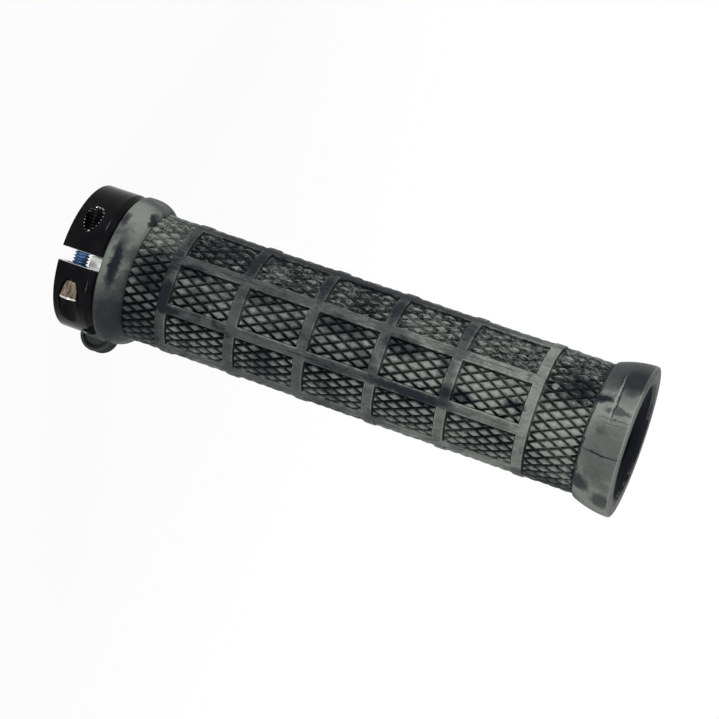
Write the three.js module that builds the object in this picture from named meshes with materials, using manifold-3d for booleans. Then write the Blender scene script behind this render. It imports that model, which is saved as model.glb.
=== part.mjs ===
// Clamp-on handlebar grip: a ribbed and knurled rubber sleeve on a nylon core, held to the bar by a split
// clamp ring. Millimetres, +Z up. Z is the axis of the bar, the clamp ring stands on Z = 0, and the open
// outboard end of the grip is at the top.
import * as THREE from 'three';
import { mergeVertices } from 'three/addons/utils/BufferGeometryUtils.js';
import Module from 'manifold-3d';

const wasm = await Module();
wasm.setup();

const degrees = Math.PI / 180;

// Driving dimensions of the whole grip
const gripLength = 130;
const barRadius = 22.2 / 2;
const fitGap = 0.3;
const overrun = 1;

// How finely the round forms, the screw, the tab and the rounded edges are divided
const roundSegments = 56;
const screwSegments = 32;
const tabSegments = 28;
const edgeSteps = 2;
const shoulderSteps = 4;
const flareSteps = 4;

// Split clamp ring, drawn with its slot on +X and turned to slotAzimuth at the end
const ringRadius = 16.6;
const ringBoreClearance = 0.05;
const ringBoreRadius = barRadius + ringBoreClearance;
const ringHeight = 9.55;
const ringChamfer = 1.1;
const ringChamferHeight = 1.6;
const ringEdge = 0.4;
const slotWidth = 3.1;
const slotAzimuth = -40 * degrees;

// Clamp screw, across the slot in the middle of the ring's cylindrical part. Its hole fills the ring's wall
// between a thin skin on the inside and a thicker one on the outside, and both its ends are sunk in the ring.
const boltInnerSkin = 0.35;
const boltOuterSkin = 1;
const boltHoleRadius = (ringRadius - ringBoreRadius - boltInnerSkin - boltOuterSkin) / 2;
const boltOffset = ringBoreRadius + boltInnerSkin + boltHoleRadius;
const boltHeight = (ringHeight - ringChamferHeight) / 2;
const boltHalfChord = Math.sqrt(ringRadius ** 2 - boltOffset ** 2);
const shankRadius = boltHoleRadius - fitGap;
const shankTipInset = 3.09;
const headShoulder = 0.4;
const headRadius = shankRadius + headShoulder;
const headLength = 4;
const headInset = 0.09;
const headChamfer = 0.3;
const headPocketRadius = headRadius + fitGap;
const headSeat = boltHalfChord - headInset - headLength - fitGap;
const socketWall = 0.9;
const socketAcrossFlats = 2 * (headRadius - socketWall);
const socketSides = 6;
const socketDepth = 2;
const keyAccessTilt = 17 * degrees;

// Nylon core: a tube with an end collar, and on it the key that sits in the ring's slot
const coreWall = 0.9;
const coreRadius = barRadius + coreWall;
const coreStart = ringHeight + fitGap;
const coreEndInset = 3.3;
const collarThickness = 1;
const keyLength = 3.4;
const keyInset = 2;
const keyRadius = ringRadius - keyInset;
const keyWidth = slotWidth - 2 * fitGap;

// Rubber sleeve, from its bore outwards: the knurl's grooves, the knurl's points and the ribs
const sleeveStart = ringHeight + fitGap;
const sleeveBoreRadius = coreRadius + fitGap;
const sleeveWall = 1.45;
const knurlDepth = 0.9;
const ribProud = 0.15;
const knurlGrooveRadius = sleeveBoreRadius + sleeveWall;
const knurlPointRadius = knurlGrooveRadius + knurlDepth;
const ribRadius = knurlPointRadius + ribProud;
const endLipClearance = 0.65;
const endLipRadius = barRadius + endLipClearance;
const endFlareWidth = 2;
const endFlareDepth = 2.2;

// Flanges at the two ends of the sleeve, a little prouder than the clamp ring
const inboardFlangeProud = 0.3;
const inboardFlangeRadius = ringRadius + inboardFlangeProud;
const inboardFlangeEdge = 0.6;
const inboardFlangeRim = 1.75;
const inboardFlangeLength = 6.05;
const inboardFootInset = 0.45;
const outboardFlangeProud = 0.25;
const outboardFlangeRadius = ringRadius + outboardFlangeProud;
const outboardFlangeLength = 8.65;
const outboardFootProud = 0.3;
const outboardEdgeRadius = 0.5;
const collarCover = 1.8;
const collarRadius = inboardFlangeRadius - collarCover - fitGap;

// The ribs run round the sleeve and the knurl's columns fill what they leave, under the edges of both
// flanges. The last bay between the ribs is a little longer than the others and has one column more.
const ribCount = 6;
const ribWidth = 2.3;
const inboardBandColumns = 4;
const columnsPerBay = 6;
const outboardBandColumns = 5;
const lastBayExtra = 1.5;
const knurlStartInset = 4.8;
const knurlEndInset = 8.4;
const knurlStart = sleeveStart + knurlStartInset;
const knurlEnd = gripLength - knurlEndInset;
const knurlColumns = inboardBandColumns + (ribCount - 1) * columnsPerBay + outboardBandColumns;
const knurlColumn = (knurlEnd - knurlStart - ribCount * ribWidth - lastBayExtra) / knurlColumns;

// The rails run along it. Rows are half a knurl diamond wide, and each rail covers two of them.
const railCount = 8;
const rowsPerRail = 10;
const rowCount = railCount * rowsPerRail;
const rowAngle = (2 * Math.PI) / rowCount;
const firstRailAzimuth = 22.5 * degrees;

// Round tab on the inboard flange, which overhangs the clamp ring
const tabAzimuth = 44 * degrees;
const tabRadius = 3.9;
const tabThickness = 5;
const tabChamfer = 0.5;
const tabCentreInset = 0.6;
const tabCentreRadius = ringRadius - tabCentreInset;
const tabOverhang = 0.75;
const tabCentreHeight = sleeveStart - tabOverhang;

function toSolid(geometry) {
  const bare = geometry.clone();
  bare.deleteAttribute('normal');
  bare.deleteAttribute('uv');
  const merged = mergeVertices(bare);
  const vertProperties = new Float32Array(merged.attributes.position.array);
  const triVerts = new Uint32Array(merged.index.array);
  return new wasm.Manifold(new wasm.Mesh({ numProp: 3, vertProperties, triVerts }));
}

function toMesh(name, solid, material) {
  const { vertProperties, triVerts } = solid.getMesh();
  const geometry = new THREE.BufferGeometry();
  geometry.setAttribute('position', new THREE.BufferAttribute(new Float32Array(vertProperties), 3));
  geometry.setIndex(new THREE.BufferAttribute(new Uint32Array(triVerts), 1));
  const mesh = new THREE.Mesh(geometry, material);
  mesh.name = name;
  return mesh;
}

// A solid of revolution about Z. The profile is a list of [radius, height] that starts and ends on the axis.
function turned(profile, segments = roundSegments) {
  const points = profile.map(([radius, height]) => new THREE.Vector2(radius, height));
  return toSolid(new THREE.LatheGeometry(points, segments).rotateX(Math.PI / 2));
}

function disc(radius, bottom, top) {
  return turned([[0, bottom], [radius, bottom], [radius, top], [0, top]]);
}

// Points of an arc of an ellipse as [radius, height], from one angle to another
function arc(centre, radii, from, to, steps) {
  return Array.from({ length: steps + 1 }, (_, i) => {
    const angle = from + ((to - from) * i) / steps;
    return [centre[0] + radii[0] * Math.cos(angle), centre[1] + radii[1] * Math.sin(angle)];
  });
}

// A cylinder along the bolt's axis, which points to +Y, between two distances from the slot's middle
function alongBolt(radius, from, to, segments = screwSegments) {
  const cylinder = new THREE.CylinderGeometry(radius, radius, to - from, segments);
  return cylinder.translate(boltOffset, (from + to) / 2, boltHeight);
}

function clampRingSolid() {
  const body = turned([
    [0, 0],
    [ringRadius - ringEdge, 0],
    [ringRadius, ringEdge],
    [ringRadius, ringHeight - ringChamferHeight],
    [ringRadius - ringChamfer, ringHeight],
    [0, ringHeight],
  ]);
  const bore = disc(ringBoreRadius, -overrun, ringHeight + overrun);
  const slotLength = ringRadius + overrun;
  const slot = new THREE.BoxGeometry(slotLength, slotWidth, ringHeight + 2 * overrun);
  slot.translate(slotLength / 2, 0, ringHeight / 2);
  const boltHole = alongBolt(boltHoleRadius, -ringRadius, headSeat + overrun);
  return body
    .subtract(bore)
    .subtract(toSolid(slot))
    .subtract(toSolid(boltHole))
    .subtract(headPocketSolid());
}

// The pocket is a straight counterbore for the screw head, and a second one that slants inwards for the key
function headPocketSolid() {
  const straight = alongBolt(headPocketRadius, headSeat, ringRadius + overrun);
  const slanted = alongBolt(headPocketRadius, headSeat, ringRadius + overrun);
  slanted.translate(-boltOffset, -headSeat, 0);
  slanted.rotateZ(keyAccessTilt);
  slanted.translate(boltOffset, headSeat, 0);
  const behindSeat = new THREE.BoxGeometry(4 * headPocketRadius, 2 * headPocketRadius, 4 * headPocketRadius);
  behindSeat.translate(boltOffset, headSeat - headPocketRadius, boltHeight);
  return toSolid(straight).add(toSolid(slanted).subtract(toSolid(behindSeat)));
}

function clampBoltSolid() {
  const tip = shankTipInset - boltHalfChord;
  const underHead = headSeat + fitGap;
  const headTop = underHead + headLength;
  const profile = [
    [0, tip],
    [shankRadius - headChamfer, tip],
    [shankRadius, tip + headChamfer],
    [shankRadius, underHead],
    [headRadius, underHead],
    [headRadius, headTop - headChamfer],
    [headRadius - headChamfer, headTop],
    [0, headTop],
  ].map(([radius, along]) => new THREE.Vector2(radius, along));
  const screw = new THREE.LatheGeometry(profile, screwSegments).translate(boltOffset, 0, boltHeight);
  const socketRadius = socketAcrossFlats / (2 * Math.cos(Math.PI / socketSides));
  const socket = alongBolt(socketRadius, headTop - socketDepth, headTop + overrun, socketSides);
  return toSolid(screw).subtract(toSolid(socket));
}

function innerCoreSolid() {
  const coreEnd = gripLength - coreEndInset;
  const tube = turned([
    [0, coreStart],
    [collarRadius, coreStart],
    [collarRadius, coreStart + collarThickness],
    [coreRadius, coreStart + collarThickness],
    [coreRadius, coreEnd],
    [0, coreEnd],
  ]);
  const keyRoot = collarThickness / 2;
  const key = new THREE.BoxGeometry(keyRadius - barRadius, keyWidth, keyLength + keyRoot);
  key.translate((keyRadius + barRadius) / 2, 0, coreStart + (keyRoot - keyLength) / 2);
  const keySolid = toSolid(key.rotateZ(slotAzimuth));
  return tube.add(keySolid).subtract(disc(barRadius, 0, gripLength));
}

// The bands of knurl columns and ribs along the sleeve, each with the heights at which it begins and ends
function sleeveColumns() {
  const columns = [];
  let height = knurlStart;
  const add = (width, isRib) => {
    columns.push({ bottom: height, top: height + width, isRib });
    height += width;
  };
  const addKnurl = (count, length = count * knurlColumn) => {
    for (let i = 0; i < count; i++) {
      add(length / count, false);
    }
  };
  addKnurl(inboardBandColumns);
  add(ribWidth, true);
  for (let bay = 1; bay < ribCount - 1; bay++) {
    addKnurl(columnsPerBay);
    add(ribWidth, true);
  }
  addKnurl(columnsPerBay + 1, columnsPerBay * knurlColumn + lastBayExtra);
  add(ribWidth, true);
  addKnurl(outboardBandColumns);
  return columns;
}

// The outside of the sleeve between its flanges, as one closed solid. Points of the knurl alternate with
// its grooves on a grid of columns and rows, and the ribs and rails fill whole columns and rows of it.
function patternedBody() {
  const columns = sleeveColumns();
  const heights = [...columns.map((column) => column.bottom), columns[columns.length - 1].top];
  const positions = [];

  const isPoint = (column, row) => (column + row) % 2 === 0;
  const place = (radius, row, height) => {
    const azimuth = firstRailAzimuth + row * rowAngle;
    return [radius * Math.cos(azimuth), radius * Math.sin(azimuth), height];
  };
  const knurl = (column, row) => {
    return place(isPoint(column, row) ? knurlPointRadius : knurlGrooveRadius, row, heights[column]);
  };
  const raised = (column, row) => place(ribRadius, row, heights[column]);
  const triangle = (a, b, c) => positions.push(...a, ...b, ...c);
  const quad = (a, b, c, d) => {
    triangle(a, b, c);
    triangle(a, c, d);
  };
  const isRailRow = (row) => row % rowsPerRail === 0 || row % rowsPerRail === rowsPerRail - 1;
  const firstRib = columns.findIndex((column) => column.isRib);
  const lastRib = columns.findLastIndex((column) => column.isRib);
  const isKnurled = (index, row) => index < firstRib || index > lastRib || !isRailRow(row);

  // Each quarter diamond is split along the groove, so that the four quarters meet in a point
  const knurlCell = (column, row) => {
    const [a, b] = [knurl(column, row), knurl(column + 1, row)];
    const [d, c] = [knurl(column, row + 1), knurl(column + 1, row + 1)];
    if (isPoint(column, row)) {
      quad(b, a, d, c);
    } else {
      quad(a, d, c, b);
    }
  };

  const ribSide = (column, row, facesDown) => {
    const [low, lowNext] = [knurl(column, row), knurl(column, row + 1)];
    const [high, highNext] = [raised(column, row), raised(column, row + 1)];
    if (facesDown) {
      quad(low, lowNext, highNext, high);
    } else {
      quad(high, highNext, lowNext, low);
    }
  };

  // The side of a rail is a flat wall from the zigzag of the knurl up to the rail's straight edge
  const railSide = (from, to, row, facesForward) => {
    const outline = [];
    for (let column = from; column <= to; column++) {
      const radius = isPoint(column, row) ? knurlPointRadius : knurlGrooveRadius;
      outline.push(new THREE.Vector2(heights[column], radius));
    }
    outline.push(new THREE.Vector2(heights[to], ribRadius), new THREE.Vector2(heights[from], ribRadius));
    for (const face of THREE.ShapeUtils.triangulateShape(outline, [])) {
      const [a, b, c] = face.map((corner) => place(outline[corner].y, row, outline[corner].x));
      if (facesForward) {
        triangle(a, b, c);
      } else {
        triangle(c, b, a);
      }
    }
  };

  const bay = (from, to) => {
    for (let rail = 0; rail < railCount; rail++) {
      const row = rail * rowsPerRail + rowsPerRail;
      for (const start of [row - 1, row]) {
        quad(raised(from, start), raised(from, start + 1), raised(to, start + 1), raised(to, start));
      }
      railSide(from, to, row + 1, true);
      railSide(from, to, row - 1, false);
    }
  };

  let bayStart = null;
  columns.forEach((column, index) => {
    for (let row = 0; row < rowCount; row++) {
      if (column.isRib) {
        quad(raised(index, row), raised(index, row + 1), raised(index + 1, row + 1), raised(index + 1, row));
        if (isKnurled(index - 1, row)) {
          ribSide(index, row, true);
        }
        if (isKnurled(index + 1, row)) {
          ribSide(index + 1, row, false);
        }
      } else if (isKnurled(index, row)) {
        knurlCell(index, row);
      }
    }
    if (column.isRib) {
      if (bayStart !== null) {
        bay(bayStart, index);
      }
      bayStart = index + 1;
    }
  });

  const last = columns.length;
  for (let row = 0; row < rowCount; row++) {
    triangle([0, 0, heights[0]], knurl(0, row + 1), knurl(0, row));
    triangle([0, 0, heights[last]], knurl(last, row), knurl(last, row + 1));
  }

  const geometry = new THREE.BufferGeometry();
  geometry.setAttribute('position', new THREE.Float32BufferAttribute(positions, 3));
  return toSolid(geometry);
}

function inboardFlange() {
  const shoulderStart = sleeveStart + inboardFlangeRim;
  const flangeEnd = sleeveStart + inboardFlangeLength;
  const foot = ribRadius - inboardFootInset;
  const edge = arc(
    [inboardFlangeRadius - inboardFlangeEdge, sleeveStart + inboardFlangeEdge],
    [inboardFlangeEdge, inboardFlangeEdge],
    -90 * degrees,
    0,
    edgeSteps,
  );
  const shoulder = arc(
    [foot, shoulderStart],
    [inboardFlangeRadius - foot, flangeEnd - shoulderStart],
    0,
    90 * degrees,
    shoulderSteps,
  );
  return turned([[0, sleeveStart], ...edge, ...shoulder, [0, flangeEnd]]);
}

function outboardFlange() {
  const flangeStart = gripLength - outboardFlangeLength;
  const edgeStart = gripLength - outboardEdgeRadius;
  const foot = ribRadius + outboardFootProud;
  const flare = Array.from({ length: flareSteps + 1 }, (_, i) => {
    const along = i / flareSteps;
    const outward = 1 - (1 - along) ** 2;
    return [foot + (outboardFlangeRadius - foot) * outward, flangeStart + (edgeStart - flangeStart) * along];
  });
  const edge = arc(
    [outboardFlangeRadius - outboardEdgeRadius, edgeStart],
    [outboardEdgeRadius, outboardEdgeRadius],
    0,
    90 * degrees,
    edgeSteps,
  );
  return turned([[0, flangeStart], ...flare, ...edge.slice(1), [0, gripLength]]);
}

// The open end's mouth: a straight bore that widens in a rounded flare where it meets the end face
function endOpening() {
  const flare = arc(
    [endLipRadius + endFlareWidth, gripLength - endFlareDepth],
    [endFlareWidth, endFlareDepth],
    180 * degrees,
    90 * degrees,
    shoulderSteps,
  );
  const top = gripLength + overrun;
  return turned([[0, 0], [endLipRadius, 0], ...flare, [endLipRadius + endFlareWidth, top], [0, top]]);
}

// A coin-shaped tab that stands across the grip's axis direction, cut clear of the ring and its chamfer
function overhangTab() {
  const half = tabThickness / 2;
  const profile = [
    [0, -half],
    [tabRadius - tabChamfer, -half],
    [tabRadius, -half + tabChamfer],
    [tabRadius, half - tabChamfer],
    [tabRadius - tabChamfer, half],
    [0, half],
  ].map(([radius, along]) => new THREE.Vector2(radius, along));
  const coin = new THREE.LatheGeometry(profile, tabSegments);
  coin.translate(tabCentreRadius, 0, tabCentreHeight);
  coin.rotateZ(tabAzimuth);
  const aroundRing = turned([
    [0, 0],
    [ringRadius + fitGap, 0],
    [ringRadius + fitGap, ringHeight - ringChamferHeight],
    [ringRadius + fitGap - ringChamfer, sleeveStart],
    [0, sleeveStart],
  ]);
  return toSolid(coin).subtract(aroundRing);
}

function rubberSleeveSolid() {
  const collarRecess = disc(collarRadius + fitGap, 0, coreStart + collarThickness + fitGap);
  const coreBore = disc(sleeveBoreRadius, 0, gripLength - coreEndInset + fitGap);
  return patternedBody()
    .add(inboardFlange())
    .add(outboardFlange())
    .add(overhangTab())
    .subtract(collarRecess)
    .subtract(coreBore)
    .subtract(endOpening());
}

const rubber = new THREE.MeshStandardMaterial({ color: 0x6d736e, roughness: 0.7, metalness: 0 });
const nylon = new THREE.MeshStandardMaterial({ color: 0xe6e8e4, roughness: 0.5, metalness: 0 });
const anodised = new THREE.MeshStandardMaterial({ color: 0x141418, roughness: 0.3, metalness: 0.8 });
const plated = new THREE.MeshStandardMaterial({ color: 0x9a9184, roughness: 0.35, metalness: 1 });

const grip = new THREE.Group();
grip.name = 'handlebar_grip';
grip.add(toMesh('rubber_sleeve', rubberSleeveSolid(), rubber));
grip.add(toMesh('inner_core', innerCoreSolid(), nylon));

const clamp = new THREE.Group();
clamp.name = 'clamp';
clamp.rotation.z = slotAzimuth;
clamp.add(toMesh('clamp_ring', clampRingSolid(), anodised));
clamp.add(toMesh('clamp_bolt', clampBoltSolid(), plated));
grip.add(clamp);

export default grip;
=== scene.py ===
# Looks of a clamp-on handlebar grip. The rubber sleeve, the clamp ring, its screw and the nylon core are
# drawn finer than the CAD nodes that they stand for. Shapes are in millimetres, with +Z along the bar.
import math
from functools import reduce
from types import SimpleNamespace

import bmesh
import bpy
from mathutils import Matrix, Vector, noise


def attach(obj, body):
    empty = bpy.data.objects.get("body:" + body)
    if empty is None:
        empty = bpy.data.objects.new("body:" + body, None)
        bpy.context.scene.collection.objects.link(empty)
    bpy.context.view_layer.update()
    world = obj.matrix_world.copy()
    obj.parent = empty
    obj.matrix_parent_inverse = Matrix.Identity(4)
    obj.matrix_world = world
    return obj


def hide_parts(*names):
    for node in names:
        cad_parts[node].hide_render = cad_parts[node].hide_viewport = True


bl_info = {
    "name": "Handlebar grip looks",
    "version": (1, 0, 0),
    "blender": (4, 5, 0),
    "location": "3D View > Sidebar > Grip",
    "description": "Dresses the packed handlebar grip for a studio picture",
    "category": "Object",
}

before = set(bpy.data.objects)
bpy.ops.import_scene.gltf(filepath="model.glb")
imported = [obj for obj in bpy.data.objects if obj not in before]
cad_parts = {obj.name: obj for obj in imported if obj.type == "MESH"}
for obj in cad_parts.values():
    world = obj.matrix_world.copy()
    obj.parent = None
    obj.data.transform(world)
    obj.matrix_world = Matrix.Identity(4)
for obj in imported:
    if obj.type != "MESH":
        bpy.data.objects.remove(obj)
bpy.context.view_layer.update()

MM = 0.001

# Sizes of the grip in millimetres. Those of its main forms are the same as in its solids.
GRIP_LENGTH = 130.0
GAP = 0.3
RING_RADIUS = 16.6
RING_BORE_RADIUS = 11.15
RING_HEIGHT = 9.55
RING_CHAMFER = 1.1
RING_CHAMFER_HEIGHT = 1.6
RING_EDGE = 0.4
SLOT_WIDTH = 3.1
SLOT_AZIMUTH = math.radians(-40)
BOLT_OFFSET = 13.55
BOLT_HEIGHT = 3.975
BOLT_TIP = -6.5
HEAD_SEAT = 5.2
HEAD_BOTTOM = 5.5
HEAD_NECK = HEAD_BOTTOM - 0.2
HEAD_TOP = 9.5
HEAD_RADIUS = 2.15
HEAD_EDGE = 0.3
SOCKET_RADIUS = 1.25 / math.cos(math.pi / 6)
SOCKET_DEPTH = 2.0
SHANK_RADIUS = 1.75
THREAD_PITCH = 0.7
THREAD_DEPTH = 0.42
THREAD_CLEARANCE = 0.03
POCKET_RADIUS = 2.45
KEY_ACCESS_TILT = math.radians(17)
BAR_RADIUS = 11.1
CORE_RADIUS = 12.0
CORE_START = 9.85
CORE_END = 126.7
COLLAR_RADIUS = 14.8
COLLAR_TOP = 10.85
COLLAR_EDGE = 0.2
KEY_RADIUS = 14.6
KEY_LENGTH = 3.4
KEY_EDGE = 0.25
SLEEVE_START = 9.85
SLEEVE_BORE = 12.3
COLLAR_RECESS = 15.1
COLLAR_RECESS_TOP = 11.15
LIP_RADIUS = 11.75
LIP_START = 127.0
RIB_RADIUS = 14.8
RIB_ROOT = SLEEVE_BORE + 0.4
RAIL_ROOT = SLEEVE_BORE + 0.5
RAIL_DROP = 0.012
POINT_RADIUS = 14.62
GROOVE_RADIUS = 13.55
TRENCH = (0.20, 0.48)
TRENCH_DEPTH = 0.8
FLANGE_RADIUS = 16.9
FLANGE_EDGE = 0.6
FLANGE_SHOULDER = 11.6
FLANGE_END = 15.9
FLANGE_FOOT = 14.35
OUTER_FLANGE_START = 121.35
OUTER_FLANGE_FOOT = 15.1
OUTER_FLANGE_RADIUS = 16.85
OUTER_EDGE = 0.4
FOOT_EDGE = 0.25
MOUTH_RADIUS = 13.2
MOUTH_EDGE = 0.12
TAB_AZIMUTH = math.radians(44)
TAB_RADIUS = 3.9
TAB_THICKNESS = 5.0
TAB_CENTRE = (16.0, 9.1)
TAB_EDGE = 0.5
TAB_GAP = 0.1

# The groove in the tab's face: how far in from the rim each of its points lies, and how deep
TAB_GROOVE = ((1.0, 0.05), (0.92, 0.28), (0.80, 0.28), (0.72, 0.03))

# Steps of round and threaded shapes
FLANGE_SEGMENTS = 180
FLARE_STEPS = 18
THREAD_STEPS = 8

# The thread's form: its height over the middle of the crest, before it is cut at 1, and its fall per turn
THREAD_CROWN = 1.25
THREAD_FLANK = 3.2

# The knurl's lattice: columns along the grip, rows round it
KNURL_START = 14.65
KNURL_END = 121.6
COLUMN = 2.35
RIB_WIDTH = 2.3
RIB_COUNT = 6
BAY_COLUMNS = 6
LAST_BAY_EXTRA = 1.5
INBOARD_COLUMNS = 4
OUTBOARD_COLUMNS = 5
ROWS = 80
ROWS_PER_RAIL = 10
FIRST_ROW = math.radians(22.5)
ROW_ANGLE = 2 * math.pi / ROWS

# Where a diamond's highest place lies, as shares of its half length and half width
CROWN = (0.10, -0.10)

# Where the knurl is torn, in degrees round the grip from the photographed side
TORN_START, TORN_END, TORN_FADE = 10, 84, 14

# How far torn rubber fills the grooves, how far it tilts and sinks the diamonds, and how far it pulls
# their points along the grip, round it (in rows) and outwards
TORN_FILL = 0.45
TORN_TILT = 0.22
TORN_SINK = 0.10
TORN_PULL = (0.3, 0.22, 0.16)

# The camera of the photograph. Its distance and aim are in millimetres from the grip's foot.
CAMERA_AZIMUTH = math.radians(-44.25)
CAMERA_ELEVATION = math.radians(13.70)
CAMERA_ROLL = math.radians(108.96)
CAMERA_DISTANCE = 490.93
CAMERA_AIM = (1.596, 1.638, 67.417)
CAMERA_LENS = 112.66
SENSOR = 36.0

# Half the width of the studio's floor
FLOOR_HALF = 3000.0

# Colours that no setting changes
BARE_ALUMINIUM = (0.62, 0.62, 0.60, 1.0)
DARK_STREAK = (0.05, 0.04, 0.03, 1.0)
# Painted highlight on the rim of the screw head's end
HEAD_RIM_HIGHLIGHT = (0.70, 0.66, 0.58, 1.0)
PALE_PATCH = (0.13, 0.26, 0.47, 1.0)
FLOOR_GREYS = ((0.80, 0.80, 0.80, 1.0), (0.83, 0.83, 0.83, 1.0))


# Mesh building


def make_object(name, verts, faces, smooth=30):
    """A mesh object from points in millimetres, with consistent outward faces."""
    mesh = bpy.data.meshes.new(name)
    mesh.from_pydata([Vector(v) * MM for v in verts], [], faces)
    bm = bmesh.new()
    bm.from_mesh(mesh)
    bmesh.ops.recalc_face_normals(bm, faces=bm.faces)
    bm.to_mesh(mesh)
    bm.free()
    obj = bpy.data.objects.new(name, mesh)
    bpy.context.scene.collection.objects.link(obj)
    soften(obj, smooth)
    return obj


def soften(obj, smooth):
    """Shades an object smooth, but for edges sharper than an angle in degrees."""
    obj.data.shade_smooth()
    obj.data.set_sharp_from_angle(angle=math.radians(smooth))


def loop_solid(name, profile, segments, smooth=30):
    """Turns a closed loop of (radius, height) about the Z axis."""
    verts, faces = [], []
    count = len(profile)
    for i in range(segments):
        angle = 2 * math.pi * i / segments
        cos, sin = math.cos(angle), math.sin(angle)
        verts += [(r * cos, r * sin, z) for r, z in profile]
    for i in range(segments):
        a, b = i * count, (i + 1) % segments * count
        for j in range(count):
            k = (j + 1) % count
            faces.append((a + j, b + j, b + k, a + k))
    return make_object(name, verts, faces, smooth)


def turned(name, profiles, smooth=30):
    """A solid from a line of (radius, height) for each step round the Z axis, closed by two flat caps."""
    verts, faces = [], []
    segments, count = len(profiles), len(profiles[0])
    for i, profile in enumerate(profiles):
        angle = 2 * math.pi * i / segments
        verts += [(r * math.cos(angle), r * math.sin(angle), z) for r, z in profile]
    for i in range(segments):
        a, b = i * count, (i + 1) % segments * count
        for j in range(count - 1):
            faces.append((a + j, b + j, b + j + 1, a + j + 1))
    faces.append(tuple(i * count for i in range(segments)))
    faces.append(tuple(i * count + count - 1 for i in reversed(range(segments))))
    return make_object(name, verts, faces, smooth)


def rod(name, profile, segments, smooth=30):
    """Turns an open line of (radius, distance) about the Z axis, closed by a flat cap at each end."""
    return turned(name, [profile] * segments, smooth)


def block(name, low, high):
    """A box between two corners in millimetres."""
    verts = [(x, y, z) for x in (low[0], high[0]) for y in (low[1], high[1]) for z in (low[2], high[2])]
    faces = [(0, 1, 3, 2), (4, 6, 7, 5), (0, 4, 5, 1), (2, 3, 7, 6), (0, 2, 6, 4), (1, 5, 7, 3)]
    return make_object(name, verts, faces)


def arc(centre, radii, start, end, steps):
    """Points of an arc of an ellipse, between two angles in degrees."""
    points = []
    for i in range(steps + 1):
        angle = math.radians(start + (end - start) * i / steps)
        points.append((centre[0] + radii[0] * math.cos(angle), centre[1] + radii[1] * math.sin(angle)))
    return points


def apply_matrix(obj, matrix):
    """Moves an object's mesh, so that the object itself stays at the origin."""
    obj.data.transform(matrix)
    obj.data.update()
    return obj


def boolean(target, tool, operation, smooth=30):
    """Joins a tool to a mesh or cuts it out, and deletes the tool."""
    modifier = target.modifiers.new("boolean", "BOOLEAN")
    modifier.operation = operation
    modifier.solver = "MANIFOLD"
    modifier.object = tool
    depsgraph = bpy.context.evaluated_depsgraph_get()
    mesh = bpy.data.meshes.new_from_object(target.evaluated_get(depsgraph))
    if not mesh.polygons:
        raise RuntimeError(f"nothing is left of {target.name} after {operation} with {tool.name}")
    target.modifiers.clear()
    old, target.data = target.data, mesh
    mesh.name = target.name
    bpy.data.meshes.remove(old)
    tool_mesh = tool.data
    bpy.data.objects.remove(tool)
    bpy.data.meshes.remove(tool_mesh)
    soften(target, smooth)
    return target


def bevel(obj, width, segments=2, angle=35):
    """Rounds the sharp edges of a mesh by a width in millimetres."""
    modifier = obj.modifiers.new("bevel", "BEVEL")
    modifier.width = width * MM
    modifier.segments = segments
    modifier.limit_method = "ANGLE"
    modifier.angle_limit = math.radians(angle)
    modifier.use_clamp_overlap = True
    modifier.harden_normals = True
    depsgraph = bpy.context.evaluated_depsgraph_get()
    mesh = bpy.data.meshes.new_from_object(obj.evaluated_get(depsgraph))
    obj.modifiers.clear()
    old, obj.data = obj.data, mesh
    mesh.name = obj.name
    bpy.data.meshes.remove(old)
    return obj


def round_normals(obj, radius):
    """Shades the faces on a cylinder about Z as the true cylinder, so that cuts leave no streaks on it."""
    mesh = obj.data
    normals = [corner.vector.copy() for corner in mesh.corner_normals]
    for polygon in mesh.polygons:
        points = [mesh.vertices[i].co for i in polygon.vertices]
        if abs(polygon.normal.z) < 0.1 and all(abs(p.xy.length / MM - radius) < 0.01 for p in points):
            for loop, point in zip(polygon.loop_indices, points):
                normals[loop] = Vector((point.x, point.y, 0.0)).normalized()
    mesh.normals_split_custom_set(normals)


def hand_over(obj, node, material):
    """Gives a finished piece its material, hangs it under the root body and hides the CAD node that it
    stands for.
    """
    obj.data.materials.clear()
    obj.data.materials.append(material)
    obj.data.polygons.foreach_set("material_index", [0] * len(obj.data.polygons))
    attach(obj, "root")
    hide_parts(node)


# Shader building


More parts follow.
